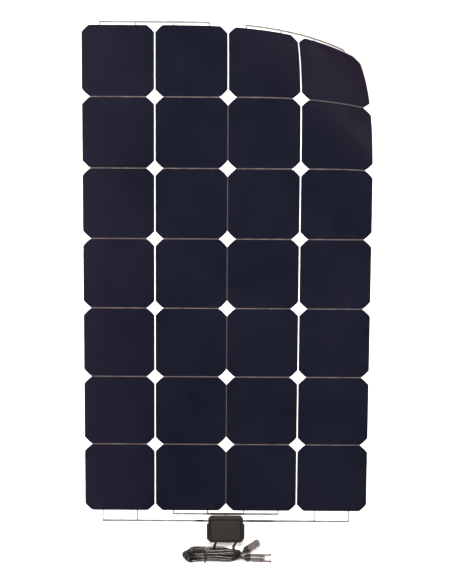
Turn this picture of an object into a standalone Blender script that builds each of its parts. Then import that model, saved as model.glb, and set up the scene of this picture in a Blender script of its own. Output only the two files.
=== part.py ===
"""A flexible solar sheet: back-contact cells laminated between a clear front film and a white
backsheet, a junction box on the front face, and two leads folded into one tied hank.

+X runs across the sheet, +Y along it to the end away from the junction box, and +Z out of its front
face. The origin is the middle of the sheet's underside, on the surface that the sheet lies on.
"""

import math

import bmesh
import bpy
from mathutils import Vector

MM = 0.001

# Cells: a square cut from a round wafer, so that its corners are short arcs
CELL_SIDE = 125 * MM
WAFER_RADIUS = 80 * MM
WAFER_ARC_STEPS = 3
CELL_GAP = 2 * MM
COLUMNS = 4
ROWS = 7

# Sheet, seen from the front, and its plies from the underside up
SIDE_MARGIN = 20 * MM
TOP_MARGIN = 20 * MM
MARGIN_PAST_BOX = 10.5 * MM
SHEET_CORNER = 8 * MM
BACKSHEET = 0.9 * MM
ENCAPSULANT = 0.4 * MM
RIBBON = 0.15 * MM
CELL = 0.2 * MM
FILM = 0.2 * MM
PLY_GAP = 0.15 * MM

# The lifted corner rolls around a cylinder that lies across the sheet's diagonal
CURL_RADIUS = 210 * MM
CURL_REACH = 265 * MM
CURL_HEADING = Vector((1, 1, 0)).normalized()
CURL_STEPS = 10

# Ribbons that join the columns of cells, with tabs that reach under the cells' edges
RIBBON_WIDTH = 4 * MM
TAB_WIDTH = 2.2 * MM
TAB_SPREAD = 31 * MM
TAB_UNDER_CELL = 3 * MM
TOP_RIBBON_GAP = 5.2 * MM
MIDDLE_RIBBON_GAP = 6.6 * MM
END_RIBBON_GAP = 20 * MM
RISER_BEND = 1 * MM
RISER_STEPS = 3
RISER_TOP = 10.5 * MM
END_RISER_X = 10.5 * MM
TAP_RISER_GAP = 15.2 * MM

# Window through the front plies and the box's floor, where the ribbons rise to the terminals
WINDOW_WIDTH = 28 * MM
WINDOW_LENGTH = 12 * MM
WINDOW_GAP = 13 * MM

# Junction box
BOX_GAP = 8.5 * MM
BOX_WIDTH = 63 * MM
BOX_LENGTH = 47 * MM
BOX_CORNER = 7 * MM
BOX_CHAMFER = 5 * MM
BOX_CORNER_STEPS = 5
BOX_WALL = 2 * MM
BOX_FLOOR = 1.5 * MM
ROOM_UNDER_FLANGE = 0.5 * MM
ROOM_OVER_FLANGE = 0.6 * MM
EAR_REACH = 2.5 * MM
EAR_LENGTH = 28 * MM
EAR_HEIGHT = 7 * MM
EAR_LIFT = 3.5 * MM
PAD = 0.6 * MM
PAD_INSET = 1 * MM
GASKET = 0.6 * MM
GASKET_INSET = 0.5 * MM
GASKET_WIDTH = 1 * MM
LID = 3.2 * MM
LID_ROUNDING = 1.2 * MM
LID_LIP_DEPTH = 1.2 * MM
LID_LIP_WALL = 1.2 * MM
PANEL_INSET = 5.5 * MM
PANEL = 1 * MM
FIT_GAP = 0.3 * MM

# Terminals and diodes inside the box
TERMINAL_HEIGHT = 4.5 * MM
TERMINAL_PAST_LEAD = 3.5 * MM
TERMINAL_LENGTH = 13.5 * MM
CENTRE_TERMINAL_WIDTH = 6 * MM
CRIMP_STEP = 0.6 * MM
DIODE_RADIUS = 2 * MM
DIODE_BODY = 4.6 * MM
DIODE_WIRE_RADIUS = 0.5 * MM
DIODE_FROM_TERMINAL_END = 3.5 * MM

# Leads, where they leave the box, and how much thicker than a lead each part of a bushing is
LEAD_DIAMETER = 5 * MM
LEAD_FROM_BOX_SIDE = 13.5 * MM
BUSHING_NOSE_WALL = 0.5 * MM
BUSHING_NECK_WALL = 0.8 * MM
BUSHING_FLANGE_WALL = 1.7 * MM
BUSHING_FLANGE = 1.3 * MM
BUSHING_NOSE = 2.5 * MM

# Each lead's way from its bushing to the hank: how far to the side, and which share of the way down
LEFT_LEAD_ROUTE = ((0, 0), (-0.4 * MM, 0.3), (-2.2 * MM, 0.75), (-2.4 * MM, 1))
RIGHT_LEAD_ROUTE = ((0, 0), (-0.5 * MM, 0.3), (-3.3 * MM, 0.75), (-3.5 * MM, 1))
LEAD_STEPS = 6

# Hank of both leads, on the surface that the sheet lies on, just past the sheet's end
HANK_LENGTH = 109 * MM
HANK_WIDTH = 28.4 * MM
HANK_HEIGHT = 15 * MM
HANK_X = -22.5 * MM
HANK_GAP = 2 * MM
HANK_LIFT = 1.5 * MM
HANK_ROUNDING = 4 * MM
TIE_X = -37 * MM
TIE_WIDTH = 2.6 * MM
TIE_THICKNESS = 0.9 * MM
TIE_HEAD = 4.5 * MM
TIE_CORNER = 4 * MM

# Connectors, along their own axis from the cable end. One has prongs and a nose with a socket
# contact, and the other a barrel with a pin contact.
NUT_LENGTH = 12 * MM
NUT_RADIUS = 7 * MM
NUT_TAIL_WALL = 1.5 * MM
NUT_TAIL = 5 * MM
NUT_FLATS = 12
NUT_HOLLOW_FLOOR = 4.5 * MM
THREAD_RADIUS = 5 * MM
COLLAR = 3 * MM
CONTACT_WEB = 3 * MM
PRONGED_BODY = 18 * MM
PRONGED_RADIUS = 6.3 * MM
NOSE_LENGTH = 8 * MM
NOSE_RADIUS = 4 * MM
SEAL_SEAT = 1.8 * MM
SEAL_SEAT_RADIUS = 3.4 * MM
SEAL_RADIUS = 0.45 * MM
SEAL_SIDES = 8
PRONG_LENGTH = 20 * MM
PRONG_THICKNESS = 2.2 * MM
PRONG_HEIGHT = 4.4 * MM
PRONG_SPREAD = 10 * MM
PRONG_ROOT = 3 * MM
PRONG_HOOK = 1 * MM
PRONG_HOOK_LENGTH = 3 * MM
SOCKET_RADIUS = 2.6 * MM
SOCKET_BORE_RADIUS = 1.7 * MM
SOCKET_BORE = 12 * MM
BARREL_BODY = 21.5 * MM
BARREL_RADIUS = 6.6 * MM
BARREL_BORE_RADIUS = 4.4 * MM
PIN_RADIUS = 1.6 * MM
PIN_RECESS = 3 * MM
CONNECTOR_GAP = 1 * MM
PRONGED_LIFT = 0.4 * MM
PRONGED_TURN = 0.0
BARREL_ASIDE = 5.7 * MM
BARREL_HIGHER = 2.6 * MM
NUTS_CLOSER = 1.5 * MM
BARREL_TURN = math.radians(36)

ROUND_STEPS = 24
SHARP_ANGLE = math.radians(25)

# Sizes that follow from those above
CELL_PITCH = CELL_SIDE + CELL_GAP
BLOCK_WIDTH = COLUMNS * CELL_PITCH - CELL_GAP
BLOCK_LENGTH = ROWS * CELL_PITCH - CELL_GAP
BOTTOM_MARGIN = BOX_GAP + BOX_LENGTH + MARGIN_PAST_BOX
SHEET_WIDTH = BLOCK_WIDTH + 2 * SIDE_MARGIN
SHEET_LENGTH = BLOCK_LENGTH + TOP_MARGIN + BOTTOM_MARGIN
BLOCK_BOTTOM = BOTTOM_MARGIN - SHEET_LENGTH / 2
BLOCK_TOP = BLOCK_BOTTOM + BLOCK_LENGTH
LEAD_RADIUS = LEAD_DIAMETER / 2
LEAD_X = BOX_WIDTH / 2 - LEAD_FROM_BOX_SIDE
TERMINAL_OUTER_X = LEAD_X + TERMINAL_PAST_LEAD
CRIMP_RADIUS = LEAD_RADIUS - CRIMP_STEP
BUSHING_NOSE_RADIUS = LEAD_RADIUS + BUSHING_NOSE_WALL
BUSHING_NECK_RADIUS = LEAD_RADIUS + BUSHING_NECK_WALL
BUSHING_FLANGE_RADIUS = LEAD_RADIUS + BUSHING_FLANGE_WALL
LEAD_HEIGHT = BOX_FLOOR + ROOM_UNDER_FLANGE + BUSHING_FLANGE_RADIUS
BOX_HEIGHT = LEAD_HEIGHT + BUSHING_FLANGE_RADIUS + ROOM_OVER_FLANGE
SHEET_CORNER_POINT = Vector((SHEET_WIDTH / 2, SHEET_LENGTH / 2, 0))
CURL_START = SHEET_CORNER_POINT - CURL_HEADING * CURL_REACH
REAR_ENCAPSULANT_Z = BACKSHEET + PLY_GAP
RIBBON_Z = REAR_ENCAPSULANT_Z + ENCAPSULANT + PLY_GAP
CELL_Z = RIBBON_Z + RIBBON + PLY_GAP
FRONT_ENCAPSULANT_Z = CELL_Z + CELL + PLY_GAP
FILM_Z = FRONT_ENCAPSULANT_Z + ENCAPSULANT + PLY_GAP
PAD_Z = FILM_Z + FILM + PLY_GAP
BASE_Z = PAD_Z + PAD + PLY_GAP
GASKET_Z = BASE_Z + BOX_HEIGHT + PLY_GAP
LID_Z = GASKET_Z + GASKET + PLY_GAP
LID_TOP_Z = LID_Z + LID
TERMINAL_Z = BASE_Z + BOX_FLOOR + FIT_GAP
LEAD_Z = BASE_Z + LEAD_HEIGHT
BOX_TOP = BLOCK_BOTTOM - BOX_GAP
BOX_BOTTOM = BOX_TOP - BOX_LENGTH
WINDOW_TOP = BLOCK_BOTTOM - WINDOW_GAP
WINDOW_CENTRE = (0, WINDOW_TOP - WINDOW_LENGTH / 2)
TERMINAL_TOP = BLOCK_BOTTOM - TAP_RISER_GAP - FIT_GAP
TERMINAL_BOTTOM = TERMINAL_TOP - TERMINAL_LENGTH
TERMINAL_INNER_X = END_RISER_X + RIBBON + FIT_GAP
DIODE_Y = TERMINAL_BOTTOM + DIODE_FROM_TERMINAL_END
HANK_TOP = -SHEET_LENGTH / 2 - HANK_GAP
HANK_Y = HANK_TOP - HANK_WIDTH / 2
NUT_TAIL_RADIUS = LEAD_RADIUS + NUT_TAIL_WALL
COLLAR_RADIUS = NUT_RADIUS
PRONGED_Z = NUT_RADIUS + PRONGED_LIFT
PRONGED_ASIDE = BARREL_ASIDE - 2 * NUT_RADIUS + NUTS_CLOSER
BARREL_Z = PRONGED_Z + BARREL_HIGHER

PART = bpy.data.collections.new("flexible_solar_sheet")
CUTTERS = bpy.data.collections.new("cutters")


def finish(name, colour, roughness, metallic=0.0, alpha=1.0):
    material = bpy.data.materials.new(name)
    material.use_nodes = True
    shader = material.node_tree.nodes["Principled BSDF"]
    shader.inputs["Base Color"].default_value = (*colour, 1)
    shader.inputs["Roughness"].default_value = roughness
    shader.inputs["Metallic"].default_value = metallic
    shader.inputs["Alpha"].default_value = alpha
    return material


def piece(name, mesh, material=None, collection=PART):
    obj = bpy.data.objects.new(name, mesh)
    collection.objects.link(obj)
    if material:
        mesh.materials.clear()
        mesh.materials.append(material)
    else:
        obj.hide_render = True
        obj.display_type = "WIRE"
    return obj


# Flat outlines, anticlockwise


def arc(centre, radius, first, last, steps):
    """Points on an arc, both ends included."""
    angles = [first + (last - first) * step / steps for step in range(steps + 1)]
    return [(centre[0] + radius * math.cos(a), centre[1] + radius * math.sin(a)) for a in angles]


def rounded_outline(width, length, corner, centre=(0, 0), steps=4):
    points = []
    for quarter, (side, end) in enumerate(((1, 1), (-1, 1), (-1, -1), (1, -1))):
        middle = (
            centre[0] + side * (width / 2 - corner),
            centre[1] + end * (length / 2 - corner),
        )
        start = quarter * math.pi / 2
        points += arc(middle, corner, start, start + math.pi / 2, steps)
    return points


def rectangle(width, length, centre=(0, 0)):
    x, y = centre
    w, h = width / 2, length / 2
    return [(x + w, y + h), (x - w, y + h), (x - w, y - h), (x + w, y - h)]


def cell_outline(centre):
    """A square whose corners are cut by the round wafer."""
    side_angle = math.acos(CELL_SIDE / 2 / WAFER_RADIUS)
    points = []
    for quarter in range(4):
        start = quarter * math.pi / 2
        first, last = start + side_angle, start + math.pi / 2 - side_angle
        points += arc(centre, WAFER_RADIUS, first, last, WAFER_ARC_STEPS)
    return points


def box_outline(inset):
    """The junction box from above: round corners next to the cells and cut ones at the leads."""
    half = BOX_WIDTH / 2 - inset
    top = BOX_TOP - inset
    bottom = BOX_BOTTOM + inset
    corner = BOX_CORNER - inset
    cut = BOX_CHAMFER - inset * (2 - math.sqrt(2))
    points = arc((half - corner, top - corner), corner, 0, math.pi / 2, BOX_CORNER_STEPS)
    points += arc((corner - half, top - corner), corner, math.pi / 2, math.pi, BOX_CORNER_STEPS)
    points += [(-half, bottom + cut), (cut - half, bottom), (half - cut, bottom)]
    points += [(half, bottom + cut)]
    return points


def comb_outline(low_x, high_x, middle_y, tabs):
    """A ribbon along X. tabs are (x, tip y) pairs, and each tip is above or below the ribbon."""
    low_y = middle_y - RIBBON_WIDTH / 2
    high_y = middle_y + RIBBON_WIDTH / 2
    half = TAB_WIDTH / 2
    points = [(low_x, low_y)]
    for x, tip in sorted(tab for tab in tabs if tab[1] < middle_y):
        points += [(x - half, low_y), (x - half, tip), (x + half, tip), (x + half, low_y)]
    points += [(high_x, low_y), (high_x, high_y)]
    for x, tip in sorted((tab for tab in tabs if tab[1] > middle_y), reverse=True):
        points += [(x + half, high_y), (x + half, tip), (x - half, tip), (x - half, high_y)]
    points += [(low_x, high_y)]
    return [point for index, point in enumerate(points) if point != points[index - 1]]


# Ways to make a mesh


def baked(obj):
    """The object's evaluated shape as a welded mesh with whole flat faces. The object is removed."""
    bpy.context.scene.collection.objects.link(obj)
    bpy.context.view_layer.update()
    evaluated = obj.evaluated_get(bpy.context.evaluated_depsgraph_get())
    mesh = bpy.data.meshes.new_from_object(evaluated)
    mesh.name = obj.name
    bpy.data.objects.remove(obj)
    bm = bmesh.new()
    bm.from_mesh(mesh)
    bmesh.ops.remove_doubles(bm, verts=bm.verts[:], dist=1e-6)
    bmesh.ops.dissolve_limit(bm, angle_limit=1e-3, verts=bm.verts[:], edges=bm.edges[:])
    bm.to_mesh(mesh)
    bm.free()
    return mesh


def plate(name, outlines, bottom, thickness):
    """A flat plate with its underside at height bottom. Outlines inside the first are holes."""
    curve = bpy.data.curves.new(name, "CURVE")
    curve.dimensions = "2D"
    curve.fill_mode = "BOTH"
    curve.extrude = thickness / 2
    for outline in outlines:
        spline = curve.splines.new("POLY")
        spline.points.add(len(outline) - 1)
        for point, (x, y) in zip(spline.points, outline):
            point.co = (x, y, 0, 1)
        spline.use_cyclic_u = True
    mesh = baked(bpy.data.objects.new(name, curve))
    for vert in mesh.vertices:
        vert.co.z += bottom + thickness / 2
    return mesh


def smoothed(mesh):
    """The mesh shaded smooth, apart from its real edges."""
    mesh.shade_smooth()
    mesh.set_sharp_from_angle(angle=SHARP_ANGLE)
    return mesh


def turned(name, profile, steps=ROUND_STEPS, closed=False):
    """A turned solid about Z. The profile is (radius, height) pairs, from its top end down."""
    mesh = bpy.data.meshes.new(name)
    points = [(radius, 0, height) for radius, height in profile]
    edges = [(i, i + 1) for i in range(len(points) - 1)]
    if closed:
        edges.append((len(points) - 1, 0))
    mesh.from_pydata(points, edges, [])
    obj = bpy.data.objects.new(name, mesh)
    screw = obj.modifiers.new("turn", "SCREW")
    screw.steps = steps
    screw.render_steps = steps
    screw.use_merge_vertices = True
    screw.merge_threshold = 1e-5
    return smoothed(baked(obj))


def box(name, low, high):
    bm = bmesh.new()
    bmesh.ops.create_cube(bm, size=1)
    low, high = Vector(low), Vector(high)
    for vert in bm.verts:
        for i in range(3):
            vert.co[i] = high[i] if vert.co[i] > 0 else low[i]
    mesh = bpy.data.meshes.new(name)
    bm.to_mesh(mesh)
    bm.free()
    return mesh


def rod(name, radius, start, end, sides=ROUND_STEPS):
    """A round or many-sided rod between two points."""
    start, end = Vector(start), Vector(end)
    bm = bmesh.new()
    bmesh.ops.create_cone(
        bm,
        cap_ends=True,
        segments=sides,
        radius1=radius,
        radius2=radius,
        depth=(end - start).length,
    )
    mesh = bpy.data.meshes.new(name)
    bm.to_mesh(mesh)
    bm.free()
    turn = (end - start).to_track_quat("Z", "Y").to_matrix().to_4x4()
    mesh.transform(turn)
    for vert in mesh.vertices:
        vert.co += (start + end) / 2
    return smoothed(mesh)


def roll(mesh, start, heading, radius, turn, steps):
    """Rolls what lies past start upward around a cylinder, in flat facets between parallel lines.

    Every ply is cut along the same lines, so stacked plies stay parallel. What lies past the whole
    turn goes on straight.
    """
    facet = radius * turn / steps
    bm = bmesh.new()
    bm.from_mesh(mesh)
    for step in range(steps + 1):
        bmesh.ops.bisect_plane(
            bm,
            geom=bm.verts[:] + bm.edges[:] + bm.faces[:],
            dist=1e-7,
            plane_co=start + heading * (facet * step),
            plane_no=heading,
        )
    up = Vector((0, 0, 1))
    for vert in bm.verts:
        beyond = (vert.co - start).dot(heading)
        if beyond <= 0:
            continue
        height = vert.co.z - start.z
        base = vert.co - heading * beyond - up * height
        place = min(beyond / facet, steps)
        before = min(int(place), steps - 1)
        ends = []
        for angle in (before * turn / steps, (before + 1) * turn / steps):
            out = (radius - height) * math.sin(angle)
            rise = radius - (radius - height) * math.cos(angle)
            ends.append(heading * out + up * rise)
        straight = max(0, beyond - radius * turn)
        vert.co = base + ends[0].lerp(ends[1], place - before)
        vert.co += (heading * math.cos(turn) + up * math.sin(turn)) * straight
    bm.to_mesh(mesh)
    bm.free()
    return mesh


def lifted(mesh):
    """The mesh of a flat ply with the sheet's corner rolled up."""
    turn = CURL_REACH / CURL_RADIUS
    return smoothed(roll(mesh, CURL_START, CURL_HEADING, CURL_RADIUS, turn, CURL_STEPS))


def round_rims(obj, width):
    """Rounds the square rims round a plate's two faces."""
    bevel = obj.modifiers.new("rounding", "BEVEL")
    bevel.width = width
    bevel.segments = 2
    bevel.limit_method = "ANGLE"
    bevel.angle_limit = math.radians(60)
    bevel.use_clamp_overlap = False


def combine(obj, operation, name, mesh):
    """Cuts obj with a mesh, or joins the mesh to it, by a Boolean modifier."""
    cutter = piece(name, mesh, collection=CUTTERS)
    cutter.parent = obj.parent
    modifier = obj.modifiers.new(name, "BOOLEAN")
    modifier.operation = operation
    modifier.object = cutter


# The laminate


def column_x(column):
    return (column - (COLUMNS - 1) / 2) * CELL_PITCH


def make_cells():
    silicon = finish("silicon", (0.012, 0.013, 0.030), 0.25)
    for column in range(COLUMNS):
        for row in range(ROWS):
            name = f"cell_column{column + 1}_row{row + 1}"
            centre = (column_x(column), BLOCK_TOP - CELL_SIDE / 2 - row * CELL_PITCH)
            piece(name, lifted(plate(name, [cell_outline(centre)], CELL_Z, CELL)), silicon)


def make_plies():
    white = finish("white_backsheet", (0.85, 0.86, 0.86), 0.5)
    clear = finish("clear_encapsulant", (0.9, 0.92, 0.92), 0.3, alpha=0.2)
    film = finish("clear_front_film", (0.9, 0.92, 0.92), 0.15, alpha=0.2)
    sheet = rounded_outline(SHEET_WIDTH, SHEET_LENGTH, SHEET_CORNER)
    window = rectangle(WINDOW_WIDTH, WINDOW_LENGTH, WINDOW_CENTRE)
    plies = (
        ("backsheet", [sheet], 0, BACKSHEET, white),
        ("rear_encapsulant", [sheet], REAR_ENCAPSULANT_Z, ENCAPSULANT, clear),
        ("front_encapsulant", [sheet, window], FRONT_ENCAPSULANT_Z, ENCAPSULANT, clear),
        ("front_film", [sheet, window], FILM_Z, FILM, film),
    )
    for name, outlines, bottom, thickness, material in plies:
        piece(name, lifted(plate(name, outlines, bottom, thickness)), material)


def tabs_for(columns, tip):
    return [(column_x(c) + side * TAB_SPREAD, tip) for c in columns for side in (-1, 1)]


def span_of(tabs):
    """The ends of a ribbon that runs from its first tab to its last."""
    return min(x for x, _ in tabs) - TAB_WIDTH / 2, max(x for x, _ in tabs) + TAB_WIDTH / 2


def riser(mesh, place, heading):
    """Bends a ribbon's end up at a right angle, so that its outer face stands at place."""
    start = Vector((*place, RIBBON_Z)) - heading * RISER_BEND
    return roll(mesh, start, heading, RISER_BEND, math.pi / 2, RISER_STEPS)


def make_ribbons():
    tinned = finish("tinned_copper", (0.78, 0.79, 0.78), 0.3, metallic=1)
    top_tip = BLOCK_TOP - TAB_UNDER_CELL
    bottom_tip = BLOCK_BOTTOM + TAB_UNDER_CELL
    half = RIBBON_WIDTH / 2

    top_y = BLOCK_TOP + TOP_RIBBON_GAP
    middle = COLUMNS // 2
    for name, columns in (("left", range(middle)), ("right", range(middle, COLUMNS))):
        tabs = tabs_for((columns[0], columns[-1]), top_tip)
        outline = comb_outline(*span_of(tabs), top_y, tabs)
        name = f"top_ribbon_{name}"
        piece(name, lifted(plate(name, [outline], RIBBON_Z, RIBBON)), tinned)

    past_bend = RISER_TOP - RIBBON_Z - RISER_BEND
    flat_past_place = past_bend + RISER_BEND * (math.pi / 2 - 1)
    tabs = tabs_for((middle - 1, middle), bottom_tip)
    tap_y = BLOCK_BOTTOM - TAP_RISER_GAP
    outline = comb_outline(
        *span_of(tabs),
        BLOCK_BOTTOM - MIDDLE_RIBBON_GAP,
        tabs + [(0, tap_y - flat_past_place)],
    )
    mesh = plate("middle_ribbon", [outline], RIBBON_Z, RIBBON)
    piece("middle_ribbon", riser(mesh, (0, tap_y), Vector((0, -1, 0))), tinned)

    end_y = BLOCK_BOTTOM - END_RIBBON_GAP
    end_x = END_RISER_X - flat_past_place
    for name, column, side in (("left", 0, -1), ("right", COLUMNS - 1, 1)):
        tabs = tabs_for((column,), bottom_tip)
        ends = sorted((side * end_x, span_of(tabs)[(side + 1) // 2]))
        mesh = plate("end_ribbon", [comb_outline(*ends, end_y, tabs)], RIBBON_Z, RIBBON)
        mesh = riser(mesh, (side * END_RISER_X, end_y - half), Vector((-side, 0, 0)))
        piece(f"end_ribbon_{name}", mesh, tinned)


# The junction box


def bushing_x():
    return (("left", -LEAD_X), ("right", LEAD_X))


def make_base(black):
    base = piece("box_base", plate("box_base", [box_outline(0)], BASE_Z, BOX_HEIGHT), black)
    ear_centre = (0, BOX_BOTTOM + EAR_LIFT + EAR_LENGTH / 2)
    ears = rectangle(BOX_WIDTH + 2 * EAR_REACH, EAR_LENGTH, ear_centre)
    combine(base, "UNION", "ears", plate("ears", [ears], BASE_Z, EAR_HEIGHT))
    floor_z = BASE_Z + BOX_FLOOR
    hollow = plate("hollow", [box_outline(BOX_WALL)], floor_z, BOX_HEIGHT)
    combine(base, "DIFFERENCE", "hollow", hollow)
    window = rectangle(WINDOW_WIDTH, WINDOW_LENGTH, WINDOW_CENTRE)
    cut = plate("floor_window", [window], BASE_Z - BOX_FLOOR, 3 * BOX_FLOOR)
    combine(base, "DIFFERENCE", "floor_window", cut)
    for name, x in bushing_x():
        inner = (x, BOX_BOTTOM + 2 * BOX_WALL, LEAD_Z)
        outer = (x, BOX_BOTTOM - BOX_WALL, LEAD_Z)
        hole = rod("hole", BUSHING_NECK_RADIUS + FIT_GAP, inner, outer)
        combine(base, "DIFFERENCE", f"lead_hole_{name}", hole)


def make_lid(black):
    lid = piece("box_lid", plate("box_lid", [box_outline(0)], LID_Z, LID), black)
    round_rims(lid, LID_ROUNDING)
    outline = box_outline(PANEL_INSET)
    combine(lid, "UNION", "panel", plate("panel", [outline], LID_TOP_Z - PANEL, 2 * PANEL))
    lip_inset = BOX_WALL + FIT_GAP
    lip_outlines = [box_outline(lip_inset), box_outline(lip_inset + LID_LIP_WALL)]
    lip = plate("lip", lip_outlines, LID_Z - LID_LIP_DEPTH, LID_LIP_DEPTH + LID / 2)
    combine(lid, "UNION", "lip", lip)


def make_box_seals():
    pad_material = finish("white_adhesive", (0.8, 0.8, 0.78), 0.6)
    rubber = finish("black_seal", (0.02, 0.02, 0.02), 0.7)
    window = rectangle(WINDOW_WIDTH, WINDOW_LENGTH, WINDOW_CENTRE)
    pad = plate("adhesive_pad", [box_outline(PAD_INSET), window], PAD_Z, PAD)
    piece("adhesive_pad", pad, pad_material)
    ring = [box_outline(GASKET_INSET), box_outline(GASKET_INSET + GASKET_WIDTH)]
    piece("lid_gasket", plate("lid_gasket", ring, GASKET_Z, GASKET), rubber)

    neck_end = -BOX_WALL - FIT_GAP
    profile = (
        (0, BUSHING_NOSE),
        (BUSHING_NOSE_RADIUS, BUSHING_NOSE),
        (BUSHING_FLANGE_RADIUS, FIT_GAP),
        (BUSHING_NECK_RADIUS, FIT_GAP),
        (BUSHING_NECK_RADIUS, neck_end),
        (BUSHING_FLANGE_RADIUS, neck_end),
        (BUSHING_FLANGE_RADIUS, neck_end - BUSHING_FLANGE),
        (0, neck_end - BUSHING_FLANGE),
    )
    for name, x in bushing_x():
        bushing = piece(f"lead_bushing_{name}", turned("bushing", profile), rubber)
        bushing.location = (x, BOX_BOTTOM, LEAD_Z)
        bushing.rotation_euler = (math.pi / 2, 0, 0)


def make_terminals():
    brass = finish("brass", (0.75, 0.58, 0.28), 0.35, metallic=1)
    diode = finish("diode_case", (0.03, 0.03, 0.03), 0.4)
    top_z = TERMINAL_Z + TERMINAL_HEIGHT
    half = CENTRE_TERMINAL_WIDTH / 2
    low, high = (-half, TERMINAL_BOTTOM, TERMINAL_Z), (half, TERMINAL_TOP, top_z)
    piece("centre_terminal", box("centre_terminal", low, high), brass)

    crimp_end = BOX_BOTTOM + BOX_WALL + FIT_GAP + BUSHING_FLANGE + FIT_GAP
    diode_room = (TERMINAL_INNER_X - half) / 2 - FIT_GAP
    body = DIODE_BODY / 2
    profile = (
        (0, diode_room),
        (DIODE_WIRE_RADIUS, diode_room),
        (DIODE_WIRE_RADIUS, body),
        (DIODE_RADIUS, body),
        (DIODE_RADIUS, -body),
        (DIODE_WIRE_RADIUS, -body),
        (DIODE_WIRE_RADIUS, -diode_room),
        (0, -diode_room),
    )
    for name, side in (("left", -1), ("right", 1)):
        xs = sorted((side * TERMINAL_INNER_X, side * TERMINAL_OUTER_X))
        low, high = (xs[0], TERMINAL_BOTTOM, TERMINAL_Z), (xs[1], TERMINAL_TOP, top_z)
        terminal = piece(f"{name}_terminal", box("terminal", low, high), brass)
        x = side * LEAD_X
        start, end = (x, TERMINAL_BOTTOM + CRIMP_RADIUS, LEAD_Z), (x, crimp_end, LEAD_Z)
        combine(terminal, "UNION", f"{name}_crimp", rod("crimp", CRIMP_RADIUS, start, end))
        obj = piece(f"bypass_diode_{name}", turned("diode", profile), diode)
        obj.location = (side * (TERMINAL_INNER_X + half) / 2, DIODE_Y, LEAD_Z)
        obj.rotation_euler = (0, math.pi / 2, 0)


def make_box():
    black = finish("black_box", (0.025, 0.024, 0.022), 0.5)
    make_base(black)
    make_lid(black)
    make_box_seals()
    make_terminals()


# The leads, their hank and their connectors


def smooth_route(points, steps):
    """Points on a Catmull-Rom curve through the given ones, steps to each stretch."""
    padded = [points[0] * 2 - points[1], *points, points[-1] * 2 - points[-2]]
    route = []
    for a, b, c, d in zip(padded, padded[1:], padded[2:], padded[3:]):
        for step in range(steps):
            t = step / steps
            route.append(
                0.5
                * (
                    2 * b
                    + (c - a) * t
                    + (2 * a - 5 * b + 4 * c - d) * t**2
                    + (3 * b - a - 3 * c + d) * t**3
                )
            )
    return [*route, points[-1]]


def make_lead(name, x, offsets, material):
    start_y = BOX_BOTTOM - BUSHING_NOSE - FIT_GAP
    end_y = HANK_TOP + FIT_GAP
    points = [Vector((x + side, start_y + (end_y - start_y) * t, LEAD_Z)) for side, t in offsets]
    curve = bpy.data.curves.new(name, "CURVE")
    curve.dimensions = "3D"
    curve.bevel_depth = LEAD_RADIUS
    curve.bevel_resolution = 2
    curve.use_fill_caps = True
    curve.materials.append(material)
    route = smooth_route(points, LEAD_STEPS // (len(points) - 1))
    spline = curve.splines.new("POLY")
    spline.points.add(len(route) - 1)
    for point, place in zip(spline.points, route):
        point.co = (*place, 1)
    PART.objects.link(bpy.data.objects.new(name, curve))


def make_hank(material):
    outline = rounded_outline(HANK_LENGTH, HANK_WIDTH, HANK_WIDTH / 2, (HANK_X, HANK_Y), steps=8)
    mesh = smoothed(plate("lead_hank", [outline], HANK_LIFT, HANK_HEIGHT))
    round_rims(piece("lead_hank", mesh, material), HANK_ROUNDING)


def frame_at(name, place, rotation):
    """An empty that places the pieces parented to it."""
    frame = bpy.data.objects.new(name, None)
    PART.objects.link(frame)
    frame.location = place
    frame.rotation_euler = rotation
    return frame


def make_tie():
    """A band round the hank, drawn as seen along X, with its square head on top."""
    pale = finish("pale_tie", (0.6, 0.58, 0.55), 0.4)
    place = (TIE_X, HANK_Y, HANK_LIFT + HANK_HEIGHT / 2)
    frame = frame_at("tie_frame", place, (math.pi / 2, 0, math.pi / 2))
    width = HANK_WIDTH + 2 * FIT_GAP
    height = HANK_HEIGHT + 2 * FIT_GAP
    thick = TIE_THICKNESS
    outer = rounded_outline(width + 2 * thick, height + 2 * thick, TIE_CORNER + thick)
    inner = rounded_outline(width, height, TIE_CORNER)
    tie = piece("cable_tie", plate("cable_tie", [outer, inner], -TIE_WIDTH / 2, TIE_WIDTH), pale)
    tie.parent = frame
    low = height / 2 + thick / 2
    half = TIE_HEAD / 2
    head = box("tie_head", (-half, low, -half), (half, low + TIE_HEAD, half))
    combine(tie, "UNION", "tie_head", head)


def make_nut(name, frame, material):
    """A cap nut: a tapered tail at the cable, then flats, hollow where the housing screws in."""
    hollow_radius = THREAD_RADIUS + FIT_GAP
    profile = (
        (0, NUT_HOLLOW_FLOOR),
        (hollow_radius, NUT_HOLLOW_FLOOR),
        (hollow_radius, NUT_LENGTH),
        (NUT_RADIUS, NUT_LENGTH),
        (NUT_RADIUS, NUT_TAIL),
        (NUT_TAIL_RADIUS, 0),
        (0, 0),
    )
    piece(name, turned(name, profile, NUT_FLATS), material).parent = frame


def tail_profile():
    """The housing's collar and the threaded end inside the nut."""
    collar_start = NUT_LENGTH + FIT_GAP
    tail_start = NUT_HOLLOW_FLOOR + FIT_GAP
    return (
        (COLLAR_RADIUS, collar_start + COLLAR),
        (COLLAR_RADIUS, collar_start),
        (THREAD_RADIUS, collar_start),
        (THREAD_RADIUS, tail_start),
        (0, tail_start),
    )


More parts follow.
